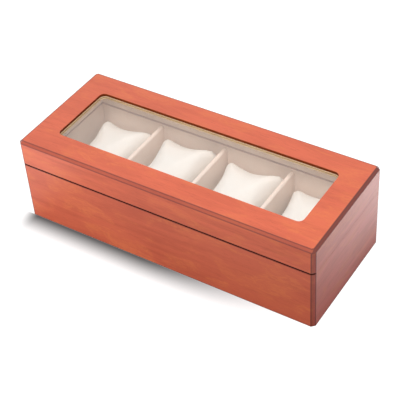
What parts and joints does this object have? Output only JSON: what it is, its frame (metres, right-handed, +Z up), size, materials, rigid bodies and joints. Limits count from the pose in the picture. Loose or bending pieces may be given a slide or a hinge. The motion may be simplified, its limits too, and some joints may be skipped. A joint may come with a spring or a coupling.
{
  "type": "watch display box",
  "caption": "Rectangular lacquered wooden display box with a hinged glazed lid, suede-lined bays between dividers and a loose cushion in each bay",
  "frame": {"origin": "centre of the underside, on the surface that the box stands on", "axes": "+X along the box to the right as seen from the front, +Y to the hinged back, +Z up"},
  "size_m": [0.3, 0.121, 0.0874],
  "materials": {
    "cherry_wood": "satin lacquer over red-brown stain",
    "bottom_board": "plain board",
    "retainer_wood": "satin",
    "underside_felt": "felt",
    "lining_suede": "short-napped suede cloth",
    "cushion_suede": "short-napped suede cloth, stuffed",
    "window_glass": "clear",
    "brass": "plated, satin"
  },
  "bodies": {
    "base": {"base_front": "cherry_wood", "base_back": "cherry_wood", "base_left": "cherry_wood", "base_right": "cherry_wood", "base_bottom": "bottom_board", "base_felt": "underside_felt", "floor_lining": "lining_suede", "base_lining_front": "lining_suede", "base_lining_back": "lining_suede", "base_lining_left": "lining_suede", "base_lining_right": "lining_suede", "divider_1": "lining_suede", "divider_2": "lining_suede", "divider_3": "lining_suede", "hinge_left_base_leaf": "brass", "hinge_right_base_leaf": "brass", "hinge_left_pin": "brass", "hinge_right_pin": "brass", "hinge_screws_base": "brass"},
    "lid": {"lid_top": "cherry_wood", "lid_front": "cherry_wood", "lid_back": "cherry_wood", "lid_left": "cherry_wood", "lid_right": "cherry_wood", "glass_pane": "window_glass", "glass_retainer": "retainer_wood", "lid_ceiling_lining": "lining_suede", "lid_lining_front": "lining_suede", "lid_lining_back": "lining_suede", "lid_lining_left": "lining_suede", "lid_lining_right": "lining_suede", "hinge_left_lid_leaf": "brass", "hinge_right_lid_leaf": "brass", "hinge_screws_lid": "brass"},
    "cushion_1_body": {"cushion_1": "cushion_suede"},
    "cushion_2_body": {"cushion_2": "cushion_suede"},
    "cushion_3_body": {"cushion_3": "cushion_suede"},
    "cushion_4_body": {"cushion_4": "cushion_suede"}
  },
  "joints": [
    {"name": "lid_hinge", "type": "hinge", "parent": "base", "child": "lid", "pos_m": [0, 0.0574, 0.0608], "axis": [-1, 0, 0], "range_deg": [0, 96]},
    {"name": "cushion_1_lift", "type": "slide", "parent": "base", "child": "cushion_1_body", "axis": [0, 0, 1], "range_m": [0, 0.02]},
    {"name": "cushion_2_lift", "type": "slide", "parent": "base", "child": "cushion_2_body", "axis": [0, 0, 1], "range_m": [0, 0.02]},
    {"name": "cushion_3_lift", "type": "slide", "parent": "base", "child": "cushion_3_body", "axis": [0, 0, 1], "range_m": [0, 0.02]},
    {"name": "cushion_4_lift", "type": "slide", "parent": "base", "child": "cushion_4_body", "axis": [0, 0, 1], "range_m": [0, 0.02]}
  ]
}
